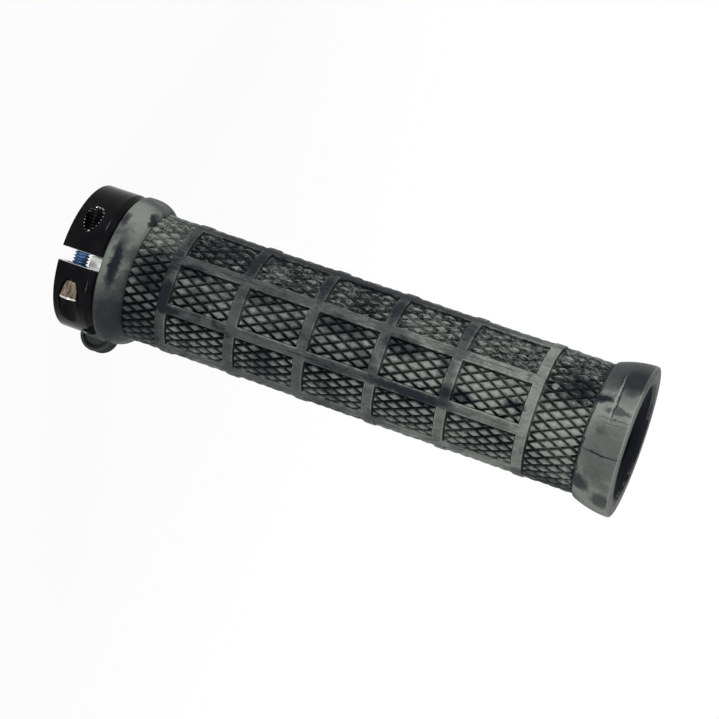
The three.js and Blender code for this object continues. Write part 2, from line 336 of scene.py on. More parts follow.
class Shader:
    """A material whose nodes are added by short calls."""

    def __init__(self, name):
        self.material = bpy.data.materials.new(name)
        self.material.use_nodes = True
        self.tree = self.material.node_tree
        self.tree.nodes.clear()
        self.output = self.tree.nodes.new("ShaderNodeOutputMaterial")
        self.bsdf = self.tree.nodes.new("ShaderNodeBsdfPrincipled")
        self.link(self.bsdf.outputs["BSDF"], self.output.inputs["Surface"])
        coordinates = self.tree.nodes.new("ShaderNodeTexCoord")
        self.position = self.vector("SCALE", coordinates.outputs["Object"], scale=1 / MM)

    def link(self, source, target):
        self.tree.links.new(source, target)

    def feed(self, socket, value):
        """Links a socket to another, or gives it a constant."""
        if isinstance(value, bpy.types.NodeSocket):
            self.link(value, socket)
        elif hasattr(socket.default_value, "__len__") and isinstance(value, (int, float)):
            socket.default_value = [value] * len(socket.default_value)
        else:
            socket.default_value = value

    def math(self, operation, a, b=0.0, clamp=False):
        node = self.tree.nodes.new("ShaderNodeMath")
        node.operation = operation
        node.use_clamp = clamp
        self.feed(node.inputs[0], a)
        self.feed(node.inputs[1], b)
        return node.outputs[0]

    def add(self, *values):
        return reduce(lambda a, b: self.math("ADD", a, b), values)

    def multiply(self, *values):
        return reduce(lambda a, b: self.math("MULTIPLY", a, b), values)

    def highest(self, *values):
        return reduce(lambda a, b: self.math("MAXIMUM", a, b), values)

    def vector(self, operation, a, b=(0.0, 0.0, 0.0), scale=1.0):
        node = self.tree.nodes.new("ShaderNodeVectorMath")
        node.operation = operation
        self.feed(node.inputs[0], a)
        if operation == "SCALE":
            node.inputs["Scale"].default_value = scale
        else:
            self.feed(node.inputs[1], b)
        return node.outputs["Value"] if operation == "LENGTH" else node.outputs["Vector"]

    def split(self, value):
        node = self.tree.nodes.new("ShaderNodeSeparateXYZ")
        self.feed(node.inputs[0], value)
        return node.outputs

    def join(self, x, y, z):
        node = self.tree.nodes.new("ShaderNodeCombineXYZ")
        for socket, value in zip(node.inputs, (x, y, z)):
            self.feed(socket, value)
        return node.outputs[0]

    def noise(self, position, size, detail=2.0, roughness=0.5, distortion=0.0, seed=0.0, colour=False):
        node = self.tree.nodes.new("ShaderNodeTexNoise")
        node.noise_dimensions = "4D"
        self.feed(node.inputs["Vector"], position)
        node.inputs["W"].default_value = seed
        node.inputs["Scale"].default_value = 1 / size
        node.inputs["Detail"].default_value = detail
        node.inputs["Roughness"].default_value = roughness
        node.inputs["Distortion"].default_value = distortion
        return node.outputs["Color" if colour else "Fac"]

    def drift(self, size, **noise_options):
        """A vector that wanders about zero."""
        wandering = self.noise(self.position, size, colour=True, **noise_options)
        return self.vector("SUBTRACT", wandering, (0.5, 0.5, 0.5))

    def moved(self, position, drift, distance):
        """A position shifted by a wandering vector."""
        return self.vector("ADD", position, self.vector("SCALE", drift, scale=distance))

    def ramp(self, value, low, high, to_low=0.0, to_high=1.0):
        """A smooth step, from to_low up to the value low, to to_high from the value high on."""
        node = self.tree.nodes.new("ShaderNodeMapRange")
        node.interpolation_type = "SMOOTHSTEP"
        self.feed(node.inputs["Value"], value)
        node.inputs["From Min"].default_value = low
        node.inputs["From Max"].default_value = high
        node.inputs["To Min"].default_value = to_low
        node.inputs["To Max"].default_value = to_high
        return node.outputs["Result"]

    def fade(self, value, low, high, start=1.0, end=0.0):
        """A smooth step that falls."""
        return self.ramp(value, low, high, start, end)

    def blend(self, factor, a, b):
        node = self.tree.nodes.new("ShaderNodeMix")
        node.data_type = "RGBA"
        self.feed(node.inputs["Factor"], factor)
        self.feed(node.inputs["A"], a)
        self.feed(node.inputs["B"], b)
        return node.outputs["Result"]

    def lerp(self, factor, a, b):
        node = self.tree.nodes.new("ShaderNodeMix")
        self.feed(node.inputs["Factor"], factor)
        self.feed(node.inputs["A"], a)
        self.feed(node.inputs["B"], b)
        return node.outputs["Result"]

    def bump(self, height, distance, strength=1.0):
        node = self.tree.nodes.new("ShaderNodeBump")
        node.inputs["Strength"].default_value = strength
        node.inputs["Distance"].default_value = distance * MM
        self.feed(node.inputs["Height"], height)
        self.link(node.outputs["Normal"], self.bsdf.inputs["Normal"])

    def set(self, **values):
        for name, value in values.items():
            self.feed(self.bsdf.inputs[name.replace("_", " ")], value)


def colour(value):
    """A colour property as RGBA."""
    return (value[0], value[1], value[2], 1.0)


# The radius at which distances round the grip are measured for marks, and heights between the inboard band
# and the bays, where the looks of torn rubber change
MARK_RADIUS = 15.0
BAND_TO_BAYS = (23.0, 27.0)

# Marks in the marbled rubber, a few of them painted light and shade, as noted at them. Each has its
# height, its angle round the grip from the side that the photograph shows, its half length along the grip,
# its half width in degrees, its tone and its strength.
DARK_MARKS = [
    # Inboard flange and band
    (12.8, 0, 1.1, 19, 0.0, 1.0),
    (10.6, 37, 0.8, 6, 0.08, 0.85),
    (13.2, -47, 3.6, 28, 0.10, 0.85),
    (15.5, 50, 0.5, 9, 0.06, 0.9),
    (21.0, 4, 3.6, 20, 0.02, 0.95),
    (19.5, -45, 5.0, 26, 0.16, 0.75),
    # Ribs and rails
    (25.2, -12, 1.6, 12, 0.05, 0.9),
    (41.6, 44, 1.4, 16, 0.16, 0.8),
    (58.0, 44, 1.4, 16, 0.18, 0.8),
    (74.4, 44, 1.4, 16, 0.14, 0.85),
    (90.8, 46, 1.4, 14, 0.20, 0.8),
    (64.0, 70, 40.0, 7, 0.14, 0.85),
    (27.0, -22, 3.0, 4, 0.12, 0.85),
    (66.0, -22, 6.0, 4, 0.25, 0.7),
    (83.0, -22, 10.0, 4.5, 0.06, 0.9),
    (90.8, -12, 1.6, 8, 0.08, 0.9),
    # Bays
    (33.0, 44, 7.0, 15, 0.22, 0.8),
    (30.0, 15, 3.5, 5, 0.08, 0.85),
    (46.0, 13, 4.0, 5, 0.12, 0.8),
    (64.5, 12, 5.5, 8, 0.08, 0.85),
    (79.0, 13, 4.0, 8, 0.06, 0.9),
    (94.0, -11, 2.4, 5, 0.12, 0.9),
    (105.5, -3, 2.2, 4, 0.06, 0.9),
    # Outboard band and flange
    (117.6, 30, 3.4, 10, 0.02, 0.95),
    (115.0, -74, 8.0, 12, 0.16, 0.8),
    (126.2, 58, 6.5, 24, 0.22, 0.85),
    # Painted shade in the crease where the outboard flange meets the knurl
    (121.4, 0, 0.25, 75, 0.05, 0.7),
    (127.8, 47, 3.0, 13, 0.08, 0.9),
    (122.8, 25, 2.1, 3.2, 0.0, 0.95),
    (126.8, 17, 2.8, 2.6, 0.30, 0.7),
    (124.6, 0, 1.0, 2.6, 0.42, 0.6),
    (122.8, -48, 1.9, 7, 0.12, 0.85),
    (128.0, -57, 2.2, 8, 0.25, 0.75),
]
LIGHT_MARKS = [
    # The first two are painted highlights: the inboard flange's sheen at its top and along its inboard
    # edge
    (12.5, 48, 3.5, 16, 0.88, 0.85),
    (11.0, -5, 1.0, 20, 0.75, 0.7),
    (19.0, 48, 4.6, 24, 1.0, 0.95),
    (50.0, 46, 6.0, 10, 0.80, 0.7),
    (82.5, 42, 7.0, 14, 0.95, 0.85),
    (99.0, 42, 7.5, 16, 0.92, 0.8),
    (101.0, -22, 7.0, 5, 0.62, 0.8),
    (100.0, 5, 8.0, 14, 0.90, 0.8),
    (108.7, 10, 1.6, 60, 0.85, 0.8),
    (116.0, -15, 6.0, 24, 0.95, 0.85),
    (126.0, -15, 5.5, 24, 0.57, 0.9),
    (123.2, 38, 1.6, 5, 0.62, 0.8),
    (127.6, 26, 2.8, 4.0, 0.66, 0.8),
]
CRACKS = [
    (125.3, 30, 0.18, 20, 1.0, 0.9),
    (125.8, 27, 0.14, 15, 0.0, 0.85),
    (126.2, -17, 3.9, 0.5, 0.0, 0.95),
    (126.6, 10, 3.4, 0.28, 0.12, 0.7),
    (127.0, 6.5, 3.0, 0.22, 0.2, 0.6),
    (58.0, -22, 3.5, 0.4, 0.0, 0.7),
    (40.0, 23, 6.0, 0.35, 0.05, 0.6),
    (97.0, 24, 5.0, 0.35, 0.05, 0.6),
]
MM_PER_DEGREE = math.radians(1) * MARK_RADIUS

# How marks are drawn: how soft their edges are, and how far the rubber's ripple moves them
MARK_STYLES = ((LIGHT_MARKS, 0.5, 3.2), (DARK_MARKS, 0.48, 3.2), (CRACKS, 0.5, 1.3))

# Tones of the rubber, from 0 for dark to 1 for light: the tab's painted shade, painted highlights on
# diamond tops, on the edges of ribs and rails and on the open end's rim, and what flakes add to them
TAB_PAINTED_SHADE = 0.30
DIAMOND_TOP_HIGHLIGHT = 0.16
EDGE_HIGHLIGHT = 0.17
RIM_HIGHLIGHT = 0.45
PLAIN_SWING = 0.08
KNURL_SWING = 0.14
TORN_SWING = 0.75

# Sizes of the folds between flakes, how wide each is drawn and the seed of its noise
FOLDS = ((2.2, 0.03, 31), (1.15, 0.025, 32))


def rubber_places(s):
    """What the rubber's tones follow. Lengths are in millimetres, and the azimuth is in radians."""
    x, y, height = s.split(s.position)
    azimuth = s.math("ARCTAN2", y, x)
    from_middle = s.math("SUBTRACT", CAMERA_AZIMUTH, azimuth)
    above_flange = s.ramp(height, FLANGE_END, FLANGE_END + 1)
    below_flange = s.fade(height, OUTER_FLANGE_START - 1, OUTER_FLANGE_START)
    return SimpleNamespace(
        height=height,
        azimuth=azimuth,
        across=s.multiply(from_middle, MARK_RADIUS),
        radius=s.vector("LENGTH", s.join(x, y, 0.0)),
        knurl=s.multiply(above_flange, below_flange),
        ripple=s.drift(2.2, detail=5, roughness=0.65, distortion=0.6, seed=5),
    )


def marbling(s, at):
    """The tone of the two rubbers, folded into each other, with the marks of the photographed side, among
    them some painted light and shade.
    """
    folded = s.moved(s.position, s.drift(7, detail=4, roughness=0.6, distortion=0.8, seed=3), 7.0)
    streaks = s.noise(folded, 11, detail=3, roughness=0.55, distortion=1.4, seed=11)
    tone = s.ramp(streaks, 0.34, 0.58, 0.44, 0.78)
    tone = s.add(tone, s.ramp(at.height, 55.0, 112.0, -0.10, 0.06))
    sheet = s.join(at.height, at.across, 0.0)
    for marks, softness, wobble in MARK_STYLES:
        rippled = s.moved(sheet, at.ripple, wobble)
        for height, angle, length, width, target, strength in marks:
            centre = (height, angle * MM_PER_DEGREE, 0.0)
            scale = (1 / length, 1 / (width * MM_PER_DEGREE), 0.0)
            offset = s.vector("MULTIPLY", s.vector("SUBTRACT", rippled, centre), scale)
            mask = s.fade(s.vector("LENGTH", offset), 1 - softness, 1 + softness, strength)
            tone = s.lerp(mask, tone, target)
    return tone


def rib_middles(s, at):
    """One along the middles of ribs and rails, and nothing from their edges outwards."""
    near, far = RIB_WIDTH / 2 - 0.35, RIB_WIDTH / 2 - 0.1
    two_turns, half_bay = 4 * math.pi, ROWS_PER_RAIL * ROW_ANGLE / 2
    from_rail = s.math("PINGPONG", s.add(at.azimuth, two_turns - FIRST_ROW), half_bay)
    middles = s.fade(s.multiply(from_rail, RIB_RADIUS), near, far)
    _, ribs = column_heights()
    for bottom, top in ribs:
        from_rib = s.math("ABSOLUTE", s.math("SUBTRACT", at.height, (bottom + top) / 2))
        middles = s.highest(middles, s.fade(from_rib, near, far))
    return middles


def painted_highlights_and_shade(s, at, tone):
    """Paints shade on the tab, and paints highlights on diamond tops, on the edges of ribs and rails and
    on the rim of the open end. Also darkens the ribs and rails towards the inboard end.
    """
    # Painted shade on the tab under the inboard flange
    on_tab = s.ramp(at.radius, FLANGE_RADIUS + 0.1, FLANGE_RADIUS + 0.4, 0.0, 0.9)
    tone = s.lerp(on_tab, tone, TAB_PAINTED_SHADE)
    # Painted highlight on the diamonds' tops
    above_sides = s.ramp(at.radius, POINT_RADIUS - 0.3, POINT_RADIUS)
    below_ribs = s.fade(at.radius, POINT_RADIUS + 0.08, POINT_RADIUS + 0.14)
    tone = s.add(tone, s.multiply(above_sides, below_ribs, DIAMOND_TOP_HIGHLIGHT))

    # Painted highlight along the edges of ribs and rails
    raised = s.ramp(at.radius, POINT_RADIUS + 0.04, POINT_RADIUS + 0.1)
    edges = s.highest(s.math("SUBTRACT", raised, rib_middles(s, at)), 0.0)
    tone = s.add(tone, s.multiply(at.knurl, edges, EDGE_HIGHLIGHT))
    rib_shade = s.fade(at.height, 50.0, 110.0, 0.20, 0.03)
    tone = s.math("SUBTRACT", tone, s.multiply(at.knurl, raised, rib_shade))

    # Painted highlight on the rim of the open end
    at_end = s.ramp(at.height, GRIP_LENGTH - 0.45, GRIP_LENGTH - 0.25)
    at_rim = s.ramp(at.radius, OUTER_FLANGE_RADIUS - 0.8, OUTER_FLANGE_RADIUS - 0.55)
    return s.add(tone, s.multiply(at_end, at_rim, RIM_HIGHLIGHT))


def torn_flakes(s, at):
    """The flakes' noise, how torn the rubber is, and the dark gaps between flakes."""
    stretched = s.vector("MULTIPLY", s.position, (1, 1, 0.30))
    flakes = s.noise(stretched, 1.25, detail=5, roughness=0.68, distortion=2.2, seed=21)
    starts = s.ramp(at.across, 8 * MM_PER_DEGREE, 24 * MM_PER_DEGREE)
    ends = s.fade(at.across, 70 * MM_PER_DEGREE, 84 * MM_PER_DEGREE)
    off_ribs = s.fade(at.radius, POINT_RADIUS + 0.06, POINT_RADIUS + 0.12, 1.0, 0.15)
    torn = s.multiply(starts, ends, at.knurl, off_ribs)

    rippled = s.moved(stretched, at.ripple, 1.8)
    folds = 0.0
    for size, width, seed in FOLDS:
        fold = s.noise(rippled, size, detail=2, seed=seed)
        from_fold = s.math("ABSOLUTE", s.math("SUBTRACT", fold, 0.5))
        folds = s.highest(folds, s.fade(from_fold, 0.0, width))
    nicks = s.ramp(s.noise(s.position, 0.55, detail=3, roughness=0.6, seed=33), 0.56, 0.68, 0.0, 0.45)
    gaps = s.highest(s.multiply(at.knurl, off_ribs, nicks), s.multiply(folds, torn))
    return flakes, torn, gaps


def groove_shade(s, at, tone, torn, darkness):
    """How far painted shade darkens the grooves and the inside of the open end. Pale or torn places, and
    one side of the grip, get less of it.
    """
    painted_groove_shade = s.fade(at.radius, GROOVE_RADIUS + 0.42, POINT_RADIUS - 0.13, darkness)
    spared = s.highest(
        s.multiply(torn, s.fade(at.height, *BAND_TO_BAYS, 0.85, 0.6)),
        s.ramp(tone, 0.70, 0.95, 0.0, 0.6),
        s.ramp(at.across, -22 * MM_PER_DEGREE, 2 * MM_PER_DEGREE, 0.0, 0.45),
    )
    painted_groove_shade = s.multiply(painted_groove_shade, s.math("SUBTRACT", 1.0, spared))
    # Painted shade inside the open end
    within_mouth = s.fade(at.radius, MOUTH_RADIUS - 0.25, MOUTH_RADIUS - 0.1)
    return s.highest(painted_groove_shade, s.multiply(within_mouth, s.ramp(at.height, LIP_START - 1, LIP_START)))


def marbled_rubber(settings):
    """Soft rubber of two tones, folded into each other as it was moulded."""
    s = Shader("marbled_rubber")
    at = rubber_places(s)
    tone = painted_highlights_and_shade(s, at, marbling(s, at))
    flakes, torn, gaps = torn_flakes(s, at)
    swing = s.add(PLAIN_SWING, s.multiply(at.knurl, KNURL_SWING), s.multiply(torn, TORN_SWING))
    tone = s.math("ADD", tone, s.multiply(s.ramp(flakes, 0.3, 0.7, -0.5, 0.5), swing), clamp=True)
    tone = s.lerp(gaps, tone, s.fade(at.height, *BAND_TO_BAYS, 0.55))
    darks = s.blend(s.ramp(tone, 0.0, 0.45), colour(settings.rubber_dark), colour(settings.rubber_mid))
    colours = s.blend(s.ramp(tone, 0.4, 1.0), darks, colour(settings.rubber_light))
    # Painted shade in the grooves and inside the open end
    painted_groove_shade = groove_shade(s, at, tone, torn, settings.groove_dark)
    s.set(Base_Color=s.blend(painted_groove_shade, colours, colour(settings.rubber_dark)))
    s.set(Roughness=s.ramp(flakes, 0.25, 0.75, 0.44, 0.66))
    s.set(Specular_IOR_Level=0.07)

    grain = s.multiply(s.noise(s.position, 0.22, detail=3, roughness=0.6, seed=8), 0.12)
    flaking = s.add(s.multiply(at.knurl, 0.25), torn)
    s.bump(s.add(grain, s.multiply(s.math("SUBTRACT", flakes, gaps), flaking)), 0.45, 0.6)
    return s.material


def turned_position(s):
    """The position in millimetres with the ring's slot turned to +X."""
    node = s.tree.nodes.new("ShaderNodeVectorRotate")
    node.rotation_type = "Z_AXIS"
    node.inputs["Angle"].default_value = -SLOT_AZIMUTH
    s.feed(node.inputs["Vector"], s.position)
    return node.outputs["Vector"]


def bare_metal(s):
    """One where the ring's aluminium is bare: on the tapped thread's outer crests and the slot's faces."""
    x, y, z = s.split(s.vector("ADD", turned_position(s), (-BOLT_OFFSET, 0.0, -BOLT_HEIGHT)))
    from_axis = s.vector("LENGTH", s.vector("MULTIPLY", s.position, (1.0, 1.0, 0.0)))
    crest_radius = SHANK_RADIUS + THREAD_CLEARANCE
    crests = s.multiply(
        s.fade(s.vector("LENGTH", s.join(x, 0.0, z)), crest_radius + 0.06, crest_radius + 0.15),
        s.ramp(from_axis, RING_RADIUS - 0.5, RING_RADIUS - 0.1),
        s.fade(y, -2.0, -1.8),
        s.ramp(s.noise(s.position, 0.5, detail=3, seed=4), 0.42, 0.58),
    )
    sawn = s.fade(s.math("ABSOLUTE", y), SLOT_WIDTH / 2 + 0.04, SLOT_WIDTH / 2 + 0.12, 0.8)
    return s.highest(crests, sawn)


def anodised(settings):
    """Glossy black anodised aluminium, faintly brushed round the ring."""
    s = Shader("black_anodised")
    brushing = s.noise(s.vector("MULTIPLY", s.position, (0.6, 0.6, 9.0)), 1.4, detail=4, seed=2)
    smears = s.noise(s.position, 5.0, detail=3, roughness=0.6, seed=6)
    black = colour(settings.anodised)
    smeared = tuple(channel * 1.9 + 0.002 for channel in black[:3]) + (1.0,)
    surface = s.blend(s.ramp(smears, 0.35, 0.75), black, smeared)
    bare = bare_metal(s)
    s.set(Base_Color=s.blend(bare, surface, BARE_ALUMINIUM))
    s.set(Metallic=s.multiply(bare, 0.9))
    s.set(Roughness=s.ramp(s.add(brushing, smears), 0.7, 1.3, 0.10, 0.20))
    s.set(Specular_IOR_Level=0.05)
    s.bump(brushing, 0.006, 0.25)
    return s.material


def plated(settings):
    """The screw's warm plating, with a blue locking patch on its thread."""
    s = Shader("plated_steel")
    turned = turned_position(s)
    _, along, _ = s.split(turned)
    streaks = s.noise(s.vector("MULTIPLY", turned, (3.0, 0.5, 3.0)), 1.2, detail=4, seed=9)
    spots = s.noise(s.position, 0.8, detail=3, roughness=0.6, seed=14)
    metal = s.blend(s.ramp(streaks, 0.3, 0.7), colour(settings.plating), DARK_STREAK)
    # Painted highlight on the rim of the head's end
    metal = s.blend(s.ramp(along, HEAD_TOP - 0.5, HEAD_TOP - 0.3), metal, HEAD_RIM_HIGHLIGHT)
    edge = s.add(along, s.ramp(spots, 0.2, 0.8, -0.5, 0.5))
    patch = s.multiply(s.fade(edge, 2.6, 3.2), s.ramp(edge, -4.4, -3.6))
    blue = s.blend(s.ramp(spots, 0.3, 0.7), colour(settings.locking_patch), PALE_PATCH)
    s.set(Base_Color=s.blend(patch, metal, blue))
    s.set(Metallic=s.math("SUBTRACT", 1.0, patch))
    s.set(Roughness=s.lerp(patch, s.ramp(spots, 0.3, 0.7, 0.10, 0.18), 0.45))
    s.bump(streaks, 0.015, 0.4)
    return s.material


def nylon(settings):
    """Off-white nylon with a faint moulded grain."""
    s = Shader("white_nylon")
    cloud = s.noise(s.position, 3.0, detail=4, seed=12)
    grain = s.noise(s.position, 0.25, detail=2, seed=13)
    white = colour(settings.nylon)
    shade = tuple(channel * 0.84 for channel in white[:3]) + (1.0,)
    s.set(Base_Color=s.blend(s.ramp(cloud, 0.3, 0.7), shade, white))
    s.set(Roughness=s.ramp(grain, 0.3, 0.7, 0.42, 0.56))
    s.set(Specular_IOR_Level=0.4)
    s.bump(grain, 0.02, 0.5)
    return s.material


def pale_floor(settings):
    """A pale floor that the camera sees as white, but for the object's shadow."""
    s = Shader("pale_floor")
    cloud = s.noise(s.position, 60.0, detail=3, seed=1)
    s.set(Base_Color=s.blend(s.ramp(cloud, 0.3, 0.7), *FLOOR_GREYS))
    s.set(Roughness=0.9)
    s.set(Specular_IOR_Level=0.1)
    s.bump(cloud, 0.02, 0.2)
    white = s.tree.nodes.new("ShaderNodeEmission")
    mix = s.tree.nodes.new("ShaderNodeMixShader")
    away = s.ramp(s.vector("LENGTH", s.position), 60.0, 320.0, settings.floor_white, 1.0)
    s.link(s.multiply(seen(s.tree), away), mix.inputs["Fac"])
    s.link(s.bsdf.outputs["BSDF"], mix.inputs[1])
    s.link(white.outputs["Emission"], mix.inputs[2])
    s.link(mix.outputs["Shader"], s.output.inputs["Surface"])
    return s.material


def seen(tree):
    """One for what the camera sees, straight or in metal and glass."""
    path = tree.nodes.new("ShaderNodeLightPath")
    total = path.outputs["Is Camera Ray"]
    for name in ("Is Glossy Ray", "Is Transmission Ray"):
        node = tree.nodes.new("ShaderNodeMath")
        node.operation = "MAXIMUM"
        tree.links.new(total, node.inputs[0])
        tree.links.new(path.outputs[name], node.inputs[1])
        total = node.outputs[0]
    return total


# The sleeve


def column_heights():
    """Heights of the knurl's column lines, and the ribs between them as pairs of heights."""
    heights, ribs = [KNURL_START], []

    def add(width, count=1):
        for _ in range(count):
            heights.append(heights[-1] + width)

    def add_rib():
        ribs.append((heights[-1], heights[-1] + RIB_WIDTH))
        add(RIB_WIDTH)

    add(COLUMN, INBOARD_COLUMNS)
    add_rib()
    for _ in range(RIB_COUNT - 2):
        add(COLUMN, BAY_COLUMNS)
        add_rib()
    last_bay = BAY_COLUMNS * COLUMN + LAST_BAY_EXTRA
    add(last_bay / (BAY_COLUMNS + 1), BAY_COLUMNS + 1)
    add_rib()
    add(COLUMN, OUTBOARD_COLUMNS)
    return heights, ribs


def rail_azimuths():
    """The directions of the rails' middles."""
    return [FIRST_ROW + row * ROW_ANGLE for row in range(0, ROWS, ROWS_PER_RAIL)]


def limited(value, low=0.0, high=1.0):
    """A value kept between two limits."""
    return min(high, max(low, value))


def tearing(azimuth, height):
    """How torn the knurl is at a place, from 0 to 1: only where the two rubbers were folded together."""
    angle = math.degrees((CAMERA_AZIMUTH - azimuth + math.pi) % (2 * math.pi) - math.pi)
    side = limited((angle - TORN_START) / TORN_FADE) * limited((TORN_END - angle) / TORN_FADE)
    patches = 0.5 + 0.9 * noise.noise(Vector((height * 0.12, angle * 0.06, 7.0)))
    return side * limited(patches, 0.25)


def is_diamond(column, row):
    """Whether a place of the lattice holds a diamond, and not a crossing of grooves."""
    return (column + row) % 2 == 1


class KnurledTube:
    """A tube covered in rows of flat-topped diamonds between crossing grooves."""

    # The corners of a diamond, in columns and rows from its middle
    CORNERS = ((1, 0), (0, 1), (-1, 0), (0, -1))

    def __init__(self, settings):
        inner, _ = column_heights()
        self.heights = [inner[0] - COLUMN] + inner + [inner[-1] + COLUMN]
        self.last = len(self.heights) - 1
        self.unevenness = settings.pad_unevenness
        self.verts, self.faces, self.crossings = [], [], {}
        top = settings.pad_top / 100
        # Share of the diamond's size, share by which its corners are cut, radius, and whether it is raised
        self.levels = [
            (0.94, 0.03, GROOVE_RADIUS + 0.03, False),
            (top + 0.10, 0.05, POINT_RADIUS - 0.36, True),
            (top, 0.07, POINT_RADIUS - 0.20, True),
            (top - 0.20, 0.10, POINT_RADIUS - 0.07, True),
        ]
        for column, row in self.places(range(self.last + 1), False):
            filled = TORN_FILL * tearing(FIRST_ROW + row * ROW_ANGLE, self.heights[column])
            self.crossings[column, row] = self.vertex(GROOVE_RADIUS + filled, row, self.heights[column])
        for column, row in self.places(range(1, self.last), True):
            self.add_diamond(column, row)
        self.close_ends()

    def places(self, columns, diamonds):
        """The lattice's places that hold diamonds, or those that hold crossings."""
        lattice = ((column, row) for column in columns for row in range(ROWS))
        return [place for place in lattice if is_diamond(*place) == diamonds]

    def vertex(self, radius, row, height):
        azimuth = FIRST_ROW + row * ROW_ANGLE
        self.verts.append((radius * math.cos(azimuth), radius * math.sin(azimuth), height))
        return len(self.verts) - 1

    def crossing(self, column, row):
        return self.crossings[column, row % ROWS]

    def add_diamond(self, column, row):
        """Rings of eight points rise from the four crossings round a diamond to its crown."""
        height = self.heights[column]
        reach = self.heights[column + 1] - height, height - self.heights[column - 1]
        torn = tearing(FIRST_ROW + row * ROW_ANGLE, height)
        seed = Vector((column * 1.7, row * 2.3, 0.5))
        tilt = noise.noise_vector(seed) * (self.unevenness + TORN_TILT * torn)

        def place(u, v, radius, raised):
            along = u * (reach[0] if u > 0 else reach[1])
            if not raised:
                return self.vertex(radius + TORN_FILL * torn, row + v, height + along)
            radius += tilt.z - TORN_SINK * torn + tilt.x * u + tilt.y * v
            pull = noise.noise_vector(Vector((height + along, (row + v) * 1.2, 3.0))) * torn
            pull_along, pull_across, pull_out = (amount * part for amount, part in zip(TORN_PULL, pull))
            return self.vertex(radius + pull_out, row + v + pull_across, height + along + pull_along)

        rings = []
        for share, cut, radius, raised in self.levels:
            ring = []
            for i, (u, v) in enumerate(self.CORNERS):
                for next_u, next_v in (self.CORNERS[i - 1], self.CORNERS[(i + 1) % 4]):
                    cut_u, cut_v = u * (1 - cut) + next_u * cut, v * (1 - cut) + next_v * cut
                    ring.append(place(share * cut_u, share * cut_v, radius, raised))
            rings.append(ring)
        crown = place(*CROWN, POINT_RADIUS, True)

        outer = [self.crossing(column + u, row + v) for u, v in self.CORNERS]
        for i in range(4):
            j = (i + 1) % 4
            self.faces.append((outer[i], outer[j], rings[0][2 * j], rings[0][2 * i + 1]))
            self.faces.append((outer[i], rings[0][2 * i + 1], rings[0][2 * i]))
        for low, high in zip(rings, rings[1:]):
            for i in range(8):
                j = (i + 1) % 8
                self.faces.append((low[i], low[j], high[j], high[i]))
        self.faces += [(rings[-1][i], rings[-1][(i + 1) % 8], crown) for i in range(8)]

    def close_ends(self):
        """Adds flat triangles between the outermost diamonds, a cap at each end and the bore."""
        bores = []
        for end, inwards in ((0, 1), (self.last, -1)):
            rows = [row for row in range(ROWS) if not is_diamond(end, row)]
            bore = [self.vertex(SLEEVE_BORE, row, self.heights[end]) for row in rows]
            for i, row in enumerate(rows):
                here, after = self.crossing(end, row), self.crossing(end, row + 2)
                self.faces.append((here, self.crossing(end + inwards, row + 1), after))
                self.faces.append((here, after, bore[(i + 1) % len(bore)], bore[i]))
            bores.append(bore)
        start, finish = bores
        for i in range(len(start)):
            j = (i + 1) % len(start)
            self.faces.append((start[i], start[j], finish[j], finish[i]))


def trench_tools():
    """Rings and bars that cut a narrow trench beside each rib, rail and flange."""
    _, ribs = column_heights()
    inboard, outboard = TRENCH
    bands = [(bottom - inboard, top + outboard) for bottom, top in ribs]
    bands += [(FLANGE_END - 1, FLANGE_END + inboard), (OUTER_FLANGE_START - outboard, KNURL_END + 0.5)]
    floor, above = POINT_RADIUS - TRENCH_DEPTH, RIB_RADIUS + 1
    tools = []
    for bottom, top in bands:
        section = [(floor, bottom), (above, bottom), (above, top), (floor, top)]
        tools.append(loop_solid("trench", section, 2 * ROWS))
    start, end = -ROW_ANGLE - inboard / RIB_RADIUS, ROW_ANGLE + outboard / RIB_RADIUS
    section = [(start, floor), (start, above), (end, above), (end, floor)]
    low, high = ribs[0][1], ribs[-1][0]
    return tools + [bar("trench", middle, section, low, high) for middle in rail_azimuths()]


def bar(name, middle, section, low, high):
    """A bar along the grip, from a section of (angle from the middle, radius)."""
    count = len(section)
    verts = []
    for height in (low, high):
        for angle, radius in section:
            verts.append((radius * math.cos(middle + angle), radius * math.sin(middle + angle), height))
    faces = [(i, (i + 1) % count, count + (i + 1) % count, count + i) for i in range(count)]
    faces += [tuple(range(count)), tuple(reversed(range(count, 2 * count)))]
    return make_object(name, verts, faces)


def rib_rings(settings):
    """The ribs round the sleeve."""
    _, ribs = column_heights()
    edge = settings.rib_edge
    rings = []
    for bottom, top in ribs:
        low = arc((RIB_RADIUS - edge, bottom + edge), (edge, edge), -90, 0, 4)
        high = arc((RIB_RADIUS - edge, top - edge), (edge, edge), 0, 90, 4)
        profile = [(RIB_ROOT, bottom)] + low + high + [(RIB_ROOT, top)]
        rings.append(loop_solid("rib", profile, 2 * ROWS))
    return rings


def rail_bars(settings):
    """The rails along the sleeve, from the middle of the first rib to the middle of the last."""
    _, ribs = column_heights()
    start, end = sum(ribs[0]) / 2, sum(ribs[-1]) / 2
    edge = settings.rib_edge
    top = RIB_RADIUS - RAIL_DROP
    half = ROW_ANGLE
    edge_angle = edge / top
    radii = edge_angle, edge
    section = [(-half, RAIL_ROOT)] + arc((-half + edge_angle, top - edge), radii, 180, 90, 4)
    section += [(-half / 2, top), (0.0, top), (half / 2, top)]
    section += arc((half - edge_angle, top - edge), radii, 90, 0, 4)
    section += [(half, RAIL_ROOT), (0.0, RAIL_ROOT)]
    return [bar("rail", middle, section, start, end) for middle in rail_azimuths()]


